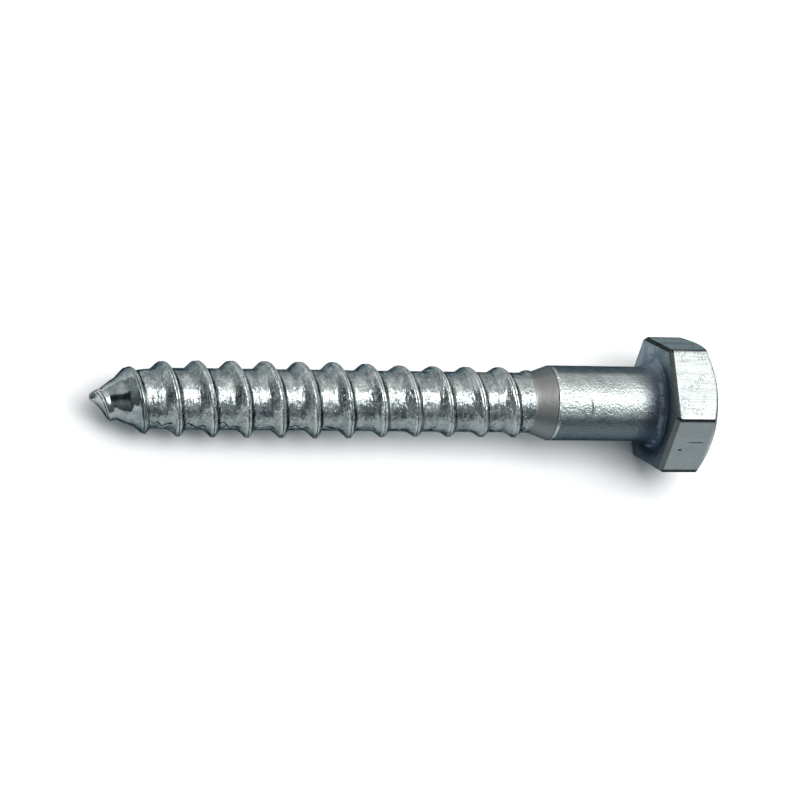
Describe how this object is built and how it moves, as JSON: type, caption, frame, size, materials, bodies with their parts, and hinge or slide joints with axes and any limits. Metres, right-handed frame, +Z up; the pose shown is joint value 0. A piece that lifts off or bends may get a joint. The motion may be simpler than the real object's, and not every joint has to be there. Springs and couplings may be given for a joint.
{
  "type": "coach screw",
  "caption": "Hexagon-head coach screw, 8 mm by 60 mm, with a plain shank, a right-hand coarse wood thread and a gimlet point.",
  "frame": {"origin": "middle of the footprint box of the screw lying at rest, on the floor it rests on", "axes": "+X from the point to the head, along the floor; +Z up; the screw lies on the lower flat of its head and on a thread crest near the point"},
  "size_m": [0.0654, 0.015, 0.0132],
  "materials": {
    "zinc_plated_steel": "bright zinc plating, slightly rough, with a bluish cast"
  },
  "bodies": {
    "root": {"coach_screw": "zinc_plated_steel"}
  },
  "joints": []
}
